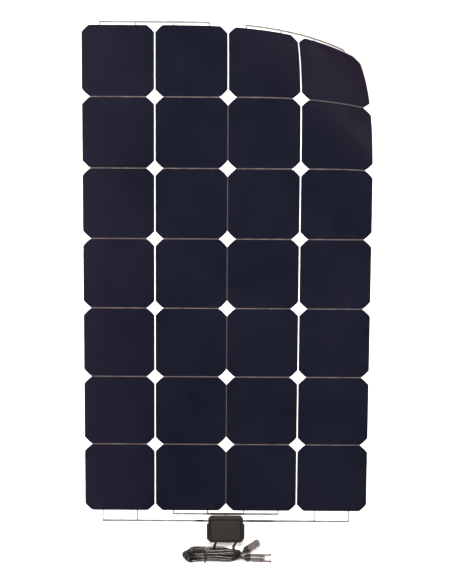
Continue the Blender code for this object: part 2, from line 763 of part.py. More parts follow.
def make_pronged_connector(frame, black, grey, metal):
    make_nut("pronged_connector_nut", frame, black)
    body_end = NUT_LENGTH + FIT_GAP + PRONGED_BODY
    nose_end = body_end + NOSE_LENGTH
    web = NUT_LENGTH + FIT_GAP + COLLAR + CONTACT_WEB
    bore = SOCKET_RADIUS + FIT_GAP
    profile = (
        (0, web),
        (bore, web),
        (bore, nose_end),
        (NOSE_RADIUS, nose_end),
        (NOSE_RADIUS, body_end + SEAL_SEAT),
        (SEAL_SEAT_RADIUS, body_end + SEAL_SEAT),
        (SEAL_SEAT_RADIUS, body_end),
        (PRONGED_RADIUS, body_end),
        (PRONGED_RADIUS, NUT_LENGTH + FIT_GAP + COLLAR),
        *tail_profile(),
    )
    name = "pronged_connector_housing"
    housing = piece(name, turned(name, profile), grey)
    housing.parent = frame
    half = PRONG_HEIGHT / 2
    tip = body_end + PRONG_LENGTH
    for side_name, side in (("left", -1), ("right", 1)):
        inner = side * PRONG_SPREAD / 2
        outer = inner + side * PRONG_THICKNESS
        hook = outer + side * PRONG_HOOK
        ys = sorted((inner, outer))
        prong = box("prong", (-half, ys[0], body_end - PRONG_ROOT), (half, ys[1], tip))
        combine(housing, "UNION", f"prong_{side_name}", prong)
        ys = sorted(((inner + outer) / 2, hook))
        barb = box("barb", (-half, ys[0], tip - PRONG_HOOK_LENGTH), (half, ys[1], tip))
        combine(housing, "UNION", f"barb_{side_name}", barb)

    end = nose_end - FIT_GAP
    profile = (
        (0, end - SOCKET_BORE),
        (SOCKET_BORE_RADIUS, end - SOCKET_BORE),
        (SOCKET_BORE_RADIUS, end),
        (SOCKET_RADIUS, end),
        (SOCKET_RADIUS, web + FIT_GAP),
        (0, web + FIT_GAP),
    )
    name = "pronged_connector_socket"
    piece(name, turned(name, profile), metal).parent = frame

    centre = SEAL_SEAT_RADIUS + FIT_GAP + SEAL_RADIUS
    height = body_end + SEAL_SEAT / 2
    angles = [-math.tau * step / SEAL_SIDES for step in range(SEAL_SIDES)]
    ring = [(centre + SEAL_RADIUS * math.cos(a), height + SEAL_RADIUS * math.sin(a)) for a in angles]
    name = "pronged_connector_seal"
    piece(name, turned(name, ring, closed=True), black).parent = frame


def make_barrel_connector(frame, black, grey, metal):
    make_nut("barrel_connector_nut", frame, black)
    end = NUT_LENGTH + FIT_GAP + BARREL_BODY
    web = NUT_LENGTH + FIT_GAP + COLLAR + CONTACT_WEB
    profile = (
        (0, web),
        (BARREL_BORE_RADIUS, web),
        (BARREL_BORE_RADIUS, end),
        (BARREL_RADIUS, end),
        (BARREL_RADIUS, NUT_LENGTH + FIT_GAP + COLLAR),
        *tail_profile(),
    )
    name = "barrel_connector_housing"
    piece(name, turned(name, profile), grey).parent = frame
    profile = (
        (0, end - PIN_RECESS),
        (PIN_RADIUS, end - PIN_RECESS),
        (PIN_RADIUS, web + FIT_GAP),
        (0, web + FIT_GAP),
    )
    name = "barrel_connector_pin"
    piece(name, turned(name, profile), metal).parent = frame


def make_connectors():
    black = finish("black_nut", (0.02, 0.02, 0.02), 0.45)
    grey = finish("dark_connector", (0.07, 0.06, 0.065), 0.4)
    metal = finish("plated_contact", (0.7, 0.7, 0.7), 0.3, metallic=1)
    start_x = HANK_X + HANK_LENGTH / 2 + CONNECTOR_GAP
    place = (start_x, HANK_Y + PRONGED_ASIDE, PRONGED_Z)
    frame = frame_at("pronged_connector_frame", place, (0, math.pi / 2, PRONGED_TURN))
    make_pronged_connector(frame, black, grey, metal)
    place = (start_x, HANK_Y + BARREL_ASIDE, BARREL_Z)
    frame = frame_at("barrel_connector_frame", place, (0, math.pi / 2, BARREL_TURN))
    make_barrel_connector(frame, black, grey, metal)


def main():
    for obj in list(bpy.data.objects):
        bpy.data.objects.remove(obj)
    for collection in (PART, CUTTERS):
        bpy.context.scene.collection.children.link(collection)
    make_cells()
    make_plies()
    make_ribbons()
    make_box()
    cable = finish("black_cable", (0.02, 0.018, 0.017), 0.35)
    make_lead("left_lead", -LEAD_X, LEFT_LEAD_ROUTE, cable)
    make_lead("right_lead", LEAD_X, RIGHT_LEAD_ROUTE, cable)
    make_hank(cable)
    make_tie()
    make_connectors()


main()
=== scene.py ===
import math

import bmesh
import bpy
import numpy as np
from mathutils import Matrix, Vector


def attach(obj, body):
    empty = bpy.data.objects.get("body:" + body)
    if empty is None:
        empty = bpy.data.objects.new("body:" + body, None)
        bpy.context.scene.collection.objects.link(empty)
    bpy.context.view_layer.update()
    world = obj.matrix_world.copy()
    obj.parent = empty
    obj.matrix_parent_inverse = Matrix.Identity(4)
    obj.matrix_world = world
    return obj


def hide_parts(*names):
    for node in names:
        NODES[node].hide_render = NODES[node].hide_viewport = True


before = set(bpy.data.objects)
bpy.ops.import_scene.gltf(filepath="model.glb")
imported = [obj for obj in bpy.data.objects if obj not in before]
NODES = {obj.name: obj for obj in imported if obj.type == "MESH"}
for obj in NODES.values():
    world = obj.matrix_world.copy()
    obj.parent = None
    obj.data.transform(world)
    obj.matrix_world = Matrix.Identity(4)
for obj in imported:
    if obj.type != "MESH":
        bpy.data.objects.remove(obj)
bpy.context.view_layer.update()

MM = 0.001

# ---------------------------------------------------------------------------------------------
# Sizes that the looks share with the solids
# ---------------------------------------------------------------------------------------------

CELL_SIDE = 125 * MM
CELL_PITCH = 127 * MM
WAFER_RADIUS = 80 * MM
STRAIGHT_SIDE = 98 * MM
BLOCK_BOTTOM = -420.5 * MM
BLOCK_TOP = 466.5 * MM
SHEET = (546 * MM, 973 * MM)
SHEET_CORNER = 8 * MM
CELL_Z = (1.9 * MM, 2.1 * MM)
RIBBON_Z = (1.6 * MM, 1.75 * MM)
WINDOW = ((-14 * MM, 14 * MM), (BLOCK_BOTTOM - 25 * MM, BLOCK_BOTTOM - 13 * MM))
CURL_RADIUS = 210 * MM
CURL_REACH = 265 * MM
CURL_HEADING = Vector((1, 1, 0)).normalized()
CURL_START = Vector((SHEET[0] / 2, SHEET[1] / 2, 0)) - CURL_HEADING * CURL_REACH
CURL_CUTS = 44

BOX_TOP = -429 * MM
BOX_BOTTOM = -476 * MM
BOX_WIDTH = 63 * MM
BASE_Z = 3.9 * MM
BASE_TOP = 14.9 * MM
LID_Z = (15.8 * MM, 19 * MM)
LIP_Z = (14.6 * MM, 16 * MM)
EAR_X = (31 * MM, 34 * MM)
SNAP_DEPTH = 1.6 * MM
BUSHING_X = 18 * MM

LEAD_DIAMETER = 5 * MM
LEAD_Z = 10.1 * MM
LEAD_START_Y = -478.8 * MM
LEAD_END_Y = -488.2 * MM
HANK_Y = -502.7 * MM
TIE_X = -37 * MM
PRONGED_PLACE = Vector((33, -509.5, 7.4)) * MM
BARREL_PLACE = Vector((33, -497, 10)) * MM
BARREL_TURN = math.radians(36)

# ---------------------------------------------------------------------------------------------
# Materials
# ---------------------------------------------------------------------------------------------


def grained(name, dark, light, scale, roughness, bump=0.1, **uniform):
    """A material whose colour, roughness and surface vary with noise over the object.

    roughness is its lowest and highest value. uniform names other inputs of the shader.
    """
    material = bpy.data.materials.new(name)
    material.use_nodes = True
    nodes = material.node_tree.nodes
    link = material.node_tree.links.new
    shader = nodes["Principled BSDF"]
    place = nodes.new("ShaderNodeTexCoord").outputs["Object"]
    noise = nodes.new("ShaderNodeTexNoise")
    noise.inputs["Scale"].default_value = scale
    noise.inputs["Detail"].default_value = 5
    link(place, noise.inputs["Vector"])
    colours = nodes.new("ShaderNodeValToRGB")
    colours.color_ramp.elements[0].position = 0.3
    colours.color_ramp.elements[1].position = 0.7
    colours.color_ramp.elements[0].color = (*dark, 1)
    colours.color_ramp.elements[1].color = (*light, 1)
    link(noise.outputs["Fac"], colours.inputs["Fac"])
    link(colours.outputs["Color"], shader.inputs["Base Color"])
    spread = nodes.new("ShaderNodeMapRange")
    spread.inputs["From Min"].default_value = 0.3
    spread.inputs["From Max"].default_value = 0.7
    spread.inputs["To Min"].default_value = roughness[0]
    spread.inputs["To Max"].default_value = roughness[1]
    link(noise.outputs["Fac"], spread.inputs["Value"])
    link(spread.outputs["Result"], shader.inputs["Roughness"])
    relief = nodes.new("ShaderNodeBump")
    relief.inputs["Strength"].default_value = bump
    relief.inputs["Distance"].default_value = 0.0002
    link(noise.outputs["Fac"], relief.inputs["Height"])
    link(relief.outputs["Normal"], shader.inputs["Normal"])
    for key, value in uniform.items():
        shader.inputs[key.replace("_", " ")].default_value = value
    return material


def silicon():
    """Nearly black cells with a faint painted purple reflection at the sheet's left side and in its
    lifted corner.
    """
    material = grained(
        "silicon",
        (0.0018, 0.0023, 0.006),
        (0.0031, 0.0035, 0.0082),
        7,
        (0.24, 0.38),
        0.03,
        Specular_IOR_Level=0.02,
        Coat_Weight=0.03,
        Coat_Roughness=0.15,
    )
    nodes = material.node_tree.nodes
    link = material.node_tree.links.new
    shader = nodes["Principled BSDF"]
    grain = shader.inputs["Base Color"].links[0].from_socket
    # Painted reflection: a purple colour is mixed in where the corner is lifted and towards the
    # sheet's left side, standing in for the studio mirrored in the cells.
    place = nodes.new("ShaderNodeSeparateXYZ")
    link(nodes.new("ShaderNodeTexCoord").outputs["Object"], place.inputs["Vector"])
    height = nodes.new("ShaderNodeMapRange")
    height.inputs["From Min"].default_value = 0.0
    height.inputs["From Max"].default_value = 0.09
    link(place.outputs["Z"], height.inputs["Value"])
    side = nodes.new("ShaderNodeMapRange")
    side.inputs["From Min"].default_value = -0.13
    side.inputs["From Max"].default_value = -0.27
    side.inputs["To Max"].default_value = 0.45
    link(place.outputs["X"], side.inputs["Value"])
    painted_reflection_share = nodes.new("ShaderNodeMath")
    painted_reflection_share.operation = "MAXIMUM"
    link(height.outputs["Result"], painted_reflection_share.inputs[0])
    link(side.outputs["Result"], painted_reflection_share.inputs[1])
    mix = nodes.new("ShaderNodeMix")
    mix.data_type = "RGBA"
    link(painted_reflection_share.outputs["Value"], mix.inputs["Factor"])
    link(grain, mix.inputs["A"])
    mix.inputs["B"].default_value = (0.0088, 0.0066, 0.0138, 1)
    link(mix.outputs["Result"], shader.inputs["Base Color"])
    return material


def tinned(name, painted_reflection_centre, painted_reflection_half):
    """Tinned copper with a painted dark reflection of something dark it mirrors, around an x value:
    full within a half width of it, fading out over half that again.
    """
    material = grained(
        name, (0.12, 0.116, 0.112), (0.21, 0.206, 0.202), 90, (0.3, 0.45), 0.2, Metallic=0.4
    )
    nodes = material.node_tree.nodes
    link = material.node_tree.links.new
    shader = nodes["Principled BSDF"]
    bright = shader.inputs["Base Color"].links[0].from_socket
    place = nodes.new("ShaderNodeSeparateXYZ")
    # Painted reflection: the dark colour below is mixed in near the given x value, in place of the
    # tin mirroring something dark.
    link(nodes.new("ShaderNodeTexCoord").outputs["Object"], place.inputs["Vector"])
    away = nodes.new("ShaderNodeMath")
    away.operation = "SUBTRACT"
    away.inputs[1].default_value = painted_reflection_centre
    link(place.outputs["X"], away.inputs[0])
    size = nodes.new("ShaderNodeMath")
    size.operation = "ABSOLUTE"
    link(away.outputs["Value"], size.inputs[0])
    fade = nodes.new("ShaderNodeMapRange")
    fade.inputs["From Min"].default_value = painted_reflection_half
    fade.inputs["From Max"].default_value = painted_reflection_half * 1.5
    link(size.outputs["Value"], fade.inputs["Value"])
    mix = nodes.new("ShaderNodeMix")
    mix.data_type = "RGBA"
    link(fade.outputs["Result"], mix.inputs["Factor"])
    mix.inputs["A"].default_value = (0.012, 0.0075, 0.006, 1)
    link(bright, mix.inputs["B"])
    link(mix.outputs["Result"], shader.inputs["Base Color"])
    return material


# ---------------------------------------------------------------------------------------------
# Camera, floor and light
# ---------------------------------------------------------------------------------------------

CAMERA_DISTANCE = 5.0
CAMERA_LEAN = math.radians(16.14)
CAMERA_ROLL = 0.0058
IMAGE_HEIGHT = 584
CAMERA_TARGET = Vector((-0.0018, -0.0102, 0.002))
FOCAL_PIXELS = 2835.0
SENSOR = 36.0


def make_camera():
    """The camera looks down on the sheet from above its far end."""
    data = bpy.data.cameras.new("camera")
    data.sensor_width = SENSOR
    data.lens = SENSOR * FOCAL_PIXELS / IMAGE_HEIGHT
    data.clip_end = 50
    camera = bpy.data.objects.new("camera", data)
    bpy.context.scene.collection.objects.link(camera)
    direction = Vector((0, math.sin(CAMERA_LEAN), math.cos(CAMERA_LEAN)))
    lean = Matrix.Rotation(-CAMERA_LEAN, 4, "X") @ Matrix.Rotation(CAMERA_ROLL, 4, "Z")
    camera.matrix_world = Matrix.Translation(CAMERA_TARGET + direction * CAMERA_DISTANCE) @ lean
    bpy.context.scene.camera = camera


def area_light(name, place, size, power):
    data = bpy.data.lights.new(name, "AREA")
    data.shape = "RECTANGLE"
    data.size, data.size_y = size
    data.energy = power
    data.color = (1, 0.94, 0.89)
    light = bpy.data.objects.new(name, data)
    bpy.context.scene.collection.objects.link(light)
    light.location = place
    light.rotation_euler = (-Vector(place)).to_track_quat("-Z", "Y").to_euler()


def make_stage():
    """A white floor in a studio that is dim where the flat cells mirror it to the camera."""
    mesh = bpy.data.meshes.new("floor")
    mesh.from_pydata([(-4, -4, 0), (4, -4, 0), (4, 4, 0), (-4, 4, 0)], [], [(0, 1, 2, 3)])
    floor = bpy.data.objects.new("floor", mesh)
    floor.location.z = -0.0004
    bpy.context.scene.collection.objects.link(floor)
    mesh.materials.append(grained("floor", (0.93, 0.93, 0.93), (0.96, 0.96, 0.96), 3, (0.8, 0.95)))

    world = bpy.data.worlds.new("studio")
    world.use_nodes = True
    nodes = world.node_tree.nodes
    link = world.node_tree.links.new
    towards = nodes.new("ShaderNodeVectorMath")
    towards.operation = "DOT_PRODUCT"
    towards.inputs[1].default_value = (0, -math.sin(CAMERA_LEAN), math.cos(CAMERA_LEAN))
    link(nodes.new("ShaderNodeTexCoord").outputs["Generated"], towards.inputs[0])
    ramp = nodes.new("ShaderNodeMapRange")
    ramp.inputs["From Min"].default_value = 0.7
    ramp.inputs["From Max"].default_value = 0.93
    ramp.inputs["To Min"].default_value = 0.8
    ramp.inputs["To Max"].default_value = 0.1
    link(towards.outputs["Value"], ramp.inputs["Value"])
    link(ramp.outputs["Result"], nodes["Background"].inputs["Strength"])
    nodes["Background"].inputs["Color"].default_value = (1, 0.995, 0.985, 1)
    bpy.context.scene.world = world
    bpy.context.scene.view_settings.view_transform = "Standard"
    area_light("far", (0, 1.75, 2.6), (1.2, 0.28), 230)
    area_light("near", (0, -2.6, 1.5), (3, 1.6), 40)
    area_light("left", (-2.4, 0.3, 1.9), (1.2, 1.2), 80)
    area_light("right", (2.4, 0.3, 1.9), (1.2, 1.2), 80)


# ---------------------------------------------------------------------------------------------
# Mesh helpers
# ---------------------------------------------------------------------------------------------


def smoothed(mesh, angle=35):
    mesh.shade_smooth()
    mesh.set_sharp_from_angle(angle=math.radians(angle))
    return mesh


def shown(name, mesh, material, body="root", replaces=()):
    """A piece of the object on its body, with its finish, in place of CAD nodes."""
    mesh.materials.clear()
    mesh.materials.append(material)
    obj = bpy.data.objects.new(name, mesh)
    bpy.context.scene.collection.objects.link(obj)
    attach(obj, body)
    if replaces:
        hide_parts(*replaces)
    return obj


def arc(centre, radius, first, last, steps):
    turn = [first + (last - first) * step / steps for step in range(steps + 1)]
    return [(centre[0] + radius * math.cos(a), centre[1] + radius * math.sin(a)) for a in turn]


def rounded(width, length, corner, centre=(0, 0), steps=6):
    points = []
    for quarter, (side, end) in enumerate(((1, 1), (-1, 1), (-1, -1), (1, -1))):
        middle = (
            centre[0] + side * (width / 2 - corner),
            centre[1] + end * (length / 2 - corner),
        )
        start = quarter * math.pi / 2
        points += arc(middle, corner, start, start + math.pi / 2, steps)
    return points


def plate(name, outlines, low, high):
    """A flat plate between two heights. Outlines inside the first are holes."""
    curve = bpy.data.curves.new(name, "CURVE")
    curve.dimensions = "2D"
    curve.fill_mode = "BOTH"
    curve.extrude = (high - low) / 2
    for outline in outlines:
        spline = curve.splines.new("POLY")
        spline.points.add(len(outline) - 1)
        for point, (x, y) in zip(spline.points, outline):
            point.co = (x, y, 0, 1)
        spline.use_cyclic_u = True
    obj = bpy.data.objects.new(name, curve)
    bpy.context.scene.collection.objects.link(obj)
    bpy.context.view_layer.update()
    evaluated = obj.evaluated_get(bpy.context.evaluated_depsgraph_get())
    mesh = bpy.data.meshes.new_from_object(evaluated)
    mesh.name = name
    bpy.data.objects.remove(obj)
    bm = bmesh.new()
    bm.from_mesh(mesh)
    bmesh.ops.remove_doubles(bm, verts=bm.verts[:], dist=1e-7)
    bmesh.ops.dissolve_limit(bm, angle_limit=1e-3, verts=bm.verts[:], edges=bm.edges[:])
    for vert in bm.verts:
        vert.co.z += (low + high) / 2
    bm.to_mesh(mesh)
    bm.free()
    return mesh


def curled(mesh):
    """The mesh of a flat ply with the sheet's corner rolled smoothly up."""
    bm = bmesh.new()
    bm.from_mesh(mesh)
    for cut in range(CURL_CUTS):
        bmesh.ops.bisect_plane(
            bm,
            geom=bm.verts[:] + bm.edges[:] + bm.faces[:],
            dist=1e-7,
            plane_co=CURL_START + CURL_HEADING * (CURL_REACH * cut / CURL_CUTS),
            plane_no=CURL_HEADING,
        )
    up = Vector((0, 0, 1))
    for vert in bm.verts:
        beyond = (vert.co - CURL_START).dot(CURL_HEADING)
        if beyond > 0:
            height = vert.co.z
            base = vert.co - CURL_HEADING * beyond - up * height
            angle = beyond / CURL_RADIUS
            out = (CURL_RADIUS - height) * math.sin(angle)
            rise = CURL_RADIUS - (CURL_RADIUS - height) * math.cos(angle)
            vert.co = base + CURL_HEADING * out + up * rise
    bm.to_mesh(mesh)
    bm.free()
    return smoothed(mesh)


def turned(name, profile, steps=48):
    """A turned solid about Z from (radius, height) pairs, from its axis out and back to it."""
    bm = bmesh.new()
    rings = []
    for radius, height in profile:
        if radius < 1e-9:
            rings.append([bm.verts.new((0, 0, height))])
            continue
        around = [math.tau * step / steps for step in range(steps)]
        rings.append(
            [bm.verts.new((radius * math.cos(a), radius * math.sin(a), height)) for a in around]
        )
    for one, two in zip(rings, rings[1:]):
        for step in range(steps):
            after = (step + 1) % steps
            corners = [one[step % len(one)], one[after % len(one)]]
            corners += [two[after % len(two)], two[step % len(two)]]
            bm.faces.new(dict.fromkeys(corners))
    bmesh.ops.recalc_face_normals(bm, faces=bm.faces[:])
    mesh = bpy.data.meshes.new(name)
    bm.to_mesh(mesh)
    bm.free()
    return smoothed(mesh)


def lathe(profile):
    """A turned solid from a profile in millimetres."""
    return turned("turned", [(r * MM, z * MM) for r, z in profile])


def block(low, high, rounding=0.0):
    """A box between two corners with rounded edges, as a bmesh."""
    bm = bmesh.new()
    bmesh.ops.create_cube(bm, size=1)
    low, high = Vector(low), Vector(high)
    for vert in bm.verts:
        for i in range(3):
            vert.co[i] = high[i] if vert.co[i] > 0 else low[i]
    if rounding:
        bmesh.ops.bevel(
            bm,
            geom=bm.edges[:],
            offset=rounding,
            segments=2,
            profile=0.5,
            affect="EDGES",
        )
    return bm


def bar(low, high, rounding):
    """A rounded box from sizes in millimetres."""
    return block([v * MM for v in low], [v * MM for v in high], rounding * MM)


def joined(name, parts):
    """One mesh from several meshes or bmeshes."""
    whole = bmesh.new()
    for part in parts:
        if isinstance(part, bmesh.types.BMesh):
            mesh = bpy.data.meshes.new("part")
            part.to_mesh(mesh)
            part.free()
        else:
            mesh = part
        whole.from_mesh(mesh)
        bpy.data.meshes.remove(mesh)
    mesh = bpy.data.meshes.new(name)
    whole.to_mesh(mesh)
    whole.free()
    return smoothed(mesh)


def softened(mesh, width, segments=2, angle=50):
    """The mesh with its real edges rounded."""
    bm = bmesh.new()
    bm.from_mesh(mesh)
    bm.normal_update()
    edges = [
        e
        for e in bm.edges
        if len(e.link_faces) == 2 and e.calc_face_angle() > math.radians(angle)
    ]
    bmesh.ops.bevel(bm, geom=edges, offset=width, segments=segments, profile=0.5, affect="EDGES")
    bm.to_mesh(mesh)
    bm.free()
    return smoothed(mesh)


# ---------------------------------------------------------------------------------------------
# Leads: both are folded into one tied hank, where they are pushed off each other
# ---------------------------------------------------------------------------------------------

# The photo doesn't show the leads' length. This is close to what the two lines below come to, and
# was set after they were measured.
POINT_SPACING = 3.3 * MM
ROUNDS = 300
BENDING = 0.035
STRETCHING = 0.45
PUSHING = 0.5
APART = LEAD_DIAMETER * 1.01
NEIGHBOURS = 3
HELD_ENDS = (4, 3)
# What the hank keeps to: half its width, which narrows at the tie and towards the connectors, its
# height, which is greater at its left end, and where it ends on the right.
HANK_HALF_WIDTH = 11.8 * MM
TIE_REACH = 16 * MM
TIE_NARROWS = 0.7 * MM
TAPER = 0.22
TAPER_START = 6 * MM
TAPER_REACH = 20 * MM
HANK_BOTTOM = 1.5 * MM
HANK_TOP = 14 * MM
RAISED_X = -56 * MM
RAISED_BY = 1.5 * MM
HANK_RIGHT = 31 * MM
LEFT_ENTRY = ((-18, 0), (-18.4, 0.3), (-20.2, 0.75), (-20.4, 1))
RIGHT_ENTRY = ((18, 0), (17.5, 0.3), (14.7, 0.75), (14.5, 1))
# Places along each lead in the hank: x, across from the hank's middle, and height. A longer row is
# a fold: its tip's x, where it comes from and goes to, across and up, and how far it leans.
LEFT_WAY = (
    (-23.5, 11.9, 9.7),
    (-31, 10.9, 9.2),
    (-50, 11, 9.2),
    (-66, 11, 9.2, -10.5, 9.2, 0.6),
    (-30, -10.6, 9.2),
    (0, -11, 9.2),
    (23, -8.5, 9.2, 5, 9.2, 0),
    (-20, 5.4, 9.2),
    (-50, 6, 9.2),
    (-66, 6, 9.2, -6, 9.2, 0.3),
    (-30, -5.4, 9.2),
    (0, -6, 9.2),
    (17, -6, 9.2, 5, 4.2, 0),
    (-20, 5.2, 4.2),
    (-50, 6, 4.2),
    (-73, 6, 4.2, -9, 4.2, 0.4),
    (-30, -5.2, 4.2),
    (5, -6, 4.2),
    (22, -6.8, 5.6),
    (30, -6.8, 7.2),
    (36, -6.8, 7.4),
)
RIGHT_WAY = (
    (9, 11.9, 8.2),
    (-2, 11, 5.2),
    (-15, 11, 4.2),
    (-50, 11, 4.2),
    (-68, 11, 4.2, -11, 4.2, 0.8),
    (-30, -10.6, 4.2),
    (0, -11, 4.6),
    (28, -8, 7, 8, 12, 0),
    (-5, 9.8, 13.8),
    (-35, 7.6, 13.8),
    (-55, 9.5, 13.8),
    (-70, 10.5, 13.8, -1, 14.4, 0),
    (-45, -2.2, 13.8),
    (-20, -1.4, 13.8),
    (0, -4.6, 13.8),
    (18, -4.5, 13.8, 4, 13.8, 0),
    (0, 4.6, 13.8),
    (-20, 3.4, 13.8),
    (-45, 1.8, 13.8),
    (-66, 3.4, 14.4, -9.5, 13.8, 0.7),
    (-35, -7.4, 13.8),
    (-10, -6.6, 13.8),
    (12, -8, 13.8),
    (24, -0.9, 12.2),
    (33, 5.7, 10),
    (35.4, 7.46, 10),
)


def lead_waypoints(entry, way):
    """World points along a lead from its bushing to its connector."""
    drop = LEAD_END_Y - LEAD_START_Y
    points = [(entry[0][0] * MM, LEAD_START_Y + 1.6 * MM, LEAD_Z)]
    points += [(x * MM, LEAD_START_Y + drop * share, LEAD_Z) for x, share in entry]
    for row in way:
        if len(row) == 3:
            x, across, height = row
            points.append((x * MM, HANK_Y + across * MM, height * MM))
            continue
        tip, across, height, next_across, next_height, skew = row
        reach = abs(across - next_across) / 2
        heading = math.copysign(1, tip + 20)
        for step in range(7):
            angle = math.pi * step / 6
            blend = (1 - math.cos(angle)) / 2
            a = across + (next_across - across) * blend
            x = tip - heading * reach * (1 - math.sin(angle)) + skew * a
            z = height + (next_height - height) * step / 6
            points.append((x * MM, HANK_Y + a * MM, z * MM))
    return np.array(points)


def through(points, steps):
    """Points on a Catmull-Rom curve through the given ones, steps to each stretch."""
    points = np.asarray(points)
    padded = np.vstack([2 * points[0] - points[1], points, 2 * points[-1] - points[-2]])
    out = []
    for a, b, c, d in zip(padded, padded[1:], padded[2:], padded[3:]):
        for step in range(steps):
            t = step / steps
            out.append(
                0.5
                * (
                    2 * b
                    + (c - a) * t
                    + (2 * a - 5 * b + 4 * c - d) * t**2
                    + (3 * b - a - 3 * c + d) * t**3
                )
            )
    return np.array([*out, points[-1]])


def spaced(points, spacing):
    """The same line with evenly spaced points."""
    along = np.concatenate([[0], np.cumsum(np.linalg.norm(np.diff(points, axis=0), axis=1))])
    count = max(2, round(along[-1] / spacing) + 1)
    wanted = np.linspace(0, along[-1], count)
    return np.stack([np.interp(wanted, along, points[:, i]) for i in range(3)], 1)


def settle(lines, held):
    """Pushes the leads off each other for ROUNDS rounds, holding each near its shape and length.

    It doesn't clear every overlap, and it keeps no smallest bend.
    held gives, for each line, how many points at its start and end stay where they are.
    """
    rests = [np.linalg.norm(np.diff(line, axis=0), axis=1) for line in lines]
    ends = np.cumsum([0] + [len(line) for line in lines])
    points = np.vstack(lines)
    free = np.ones(len(points), bool)
    for (first, last), start, end in zip(held, ends, ends[1:]):
        free[start : start + first] = False
        free[end - last : end] = False
    line_of = np.repeat(np.arange(len(lines)), [len(line) for line in lines])
    index = np.arange(len(points))
    far = np.abs(index[:, None] - index[None]) > NEIGHBOURS
    far |= line_of[:, None] != line_of[None]
    lowest = HANK_BOTTOM + LEAD_DIAMETER / 2
    for _ in range(ROUNDS):
        moved = points.copy()
        for start, end, rest in zip(ends, ends[1:], rests):
            line = moved[start:end]
            fourth = line[:-4] - 4 * line[1:-3] + 6 * line[2:-2] - 4 * line[3:-1] + line[4:]
            line[2:-2] -= BENDING * fourth
            step = np.diff(line, axis=0)
            size = np.linalg.norm(step, axis=1)
            pull = step * (STRETCHING * (size - rest) / size)[:, None]
            line[:-1] += pull
            line[1:] -= pull
        difference = moved[:, None] - moved[None]
        distance = np.sqrt((difference**2).sum(2)) + 1e-12
        deep = np.where(far & (distance < APART), APART - distance, 0)
        count = np.maximum(1, (deep > 0).sum(1))
        push = (difference * (deep / distance)[:, :, None]).sum(1)
        moved += push * (PUSHING / np.sqrt(count))[:, None]

        x, across, height = moved[:, 0], moved[:, 1] - HANK_Y, moved[:, 2]
        near_tie = np.clip(1 - np.abs(x - TIE_X) / TIE_REACH, 0, 1)
        tapered = TAPER * np.clip(x - TAPER_START, 0, TAPER_REACH)
        side = HANK_HALF_WIDTH - TIE_NARROWS * near_tie - tapered
        inside = (x < HANK_RIGHT) & (moved[:, 1] < LEAD_END_Y)
        across = np.where(inside, np.clip(across, -side, side), across)
        top = HANK_TOP + np.where(x < RAISED_X, RAISED_BY, 0)
        height = np.clip(height, lowest, np.where(inside, top, 1))
        moved = np.stack([x, across + HANK_Y, height], 1)
        points[free] = moved[free]
    return [points[start:end] for start, end in zip(ends, ends[1:])]


def make_leads(black):
    """Both leads as cords, each one line from its bushing to its connector."""
    routes, held = [], []
    for entry, way in ((LEFT_ENTRY, LEFT_WAY), (RIGHT_ENTRY, RIGHT_WAY)):
        routes.append(spaced(through(lead_waypoints(entry, way), 8), POINT_SPACING))
        held.append(HELD_ENDS)
    leads = []
    for name, line in zip(("left_lead_look", "right_lead_look"), settle(routes, held)):
        fine = through(line, 3)
        curve = bpy.data.curves.new(name, "CURVE")
        curve.dimensions = "3D"
        curve.bevel_depth = LEAD_DIAMETER / 2
        curve.bevel_resolution = 5
        curve.use_fill_caps = True
        curve.materials.append(black)
        spline = curve.splines.new("POLY")
        spline.points.add(len(fine) - 1)
        for point, place in zip(spline.points, fine):
            point.co = (*place, 1)
        spline.use_smooth = True
        lead = bpy.data.objects.new(name, curve)
        bpy.context.scene.collection.objects.link(lead)
        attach(lead, "root")
        leads.append(lead)
    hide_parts("left_lead", "lead_hank")
    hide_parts("right_lead", "lead_hank")
    return leads


# ---------------------------------------------------------------------------------------------
# The laminate
# ---------------------------------------------------------------------------------------------


def column_x(column):
    return (column - 1.5) * CELL_PITCH


def window_outline():
    """The opening in the front film through which the ribbons rise into the box."""
    (left, right), (near, far) = WINDOW
    return [(right, far), (left, far), (left, near), (right, near)]


def make_sheet():
    outline = rounded(*SHEET, SHEET_CORNER)
    white = grained(
        "backsheet_white", (0.9, 0.9, 0.9), (0.94, 0.94, 0.94), 40, (0.35, 0.5), 0.05
    )
    clear = grained(
        "clear_ply",
        (0.02, 0.02, 0.022),
        (0.04, 0.04, 0.042),
        20,
        (0.1, 0.2),
        0.03,
        Alpha=0.02,
    )
    shown(
        "backsheet_look",
        curled(plate("backsheet", [outline], 0, 0.9 * MM)),
        white,
        replaces=["backsheet"],
    )
    shown(
        "rear_encapsulant_look",
        curled(plate("rear_encapsulant", [outline], 1.05 * MM, 1.45 * MM)),
        clear,
        replaces=["rear_encapsulant"],
    )
    shown(
        "front_film_look",
        curled(plate("front_film", [outline, window_outline()], 2.25 * MM, 3 * MM)),
        clear,
        replaces=["front_encapsulant", "front_film"],
    )


def cell_outline(centre):
    """A square whose corners are cut by the round wafer."""
    side = math.acos(CELL_SIDE / 2 / WAFER_RADIUS)
    points = []
    for quarter in range(4):
        start = quarter * math.pi / 2
        points += arc(centre, WAFER_RADIUS, start + side, start + math.pi / 2 - side, 8)
    return points


def make_cells():
    material = silicon()
    for column in range(4):
        for row in range(7):
            centre = (column_x(column), BLOCK_TOP - CELL_SIDE / 2 - row * CELL_PITCH)
            name = f"cell_column{column + 1}_row{row + 1}"
            mesh = curled(plate(name, [cell_outline(centre)], *CELL_Z))
            shown(f"{name}_look", mesh, material, replaces=[name])


def comb(first, last, middle, tabs, tip):
    """A ribbon along X with tabs down to tip."""
    low, high = middle - 2 * MM, middle + 2 * MM
    points = [(first, low)]
    for x in tabs:
        points += [(x - 1.1 * MM, low), (x - 1.1 * MM, tip)]
        points += [(x + 1.1 * MM, tip), (x + 1.1 * MM, low)]
    points += [(last, low), (last, high), (first, high)]
    return [p for i, p in enumerate(points) if p != points[i - 1]]


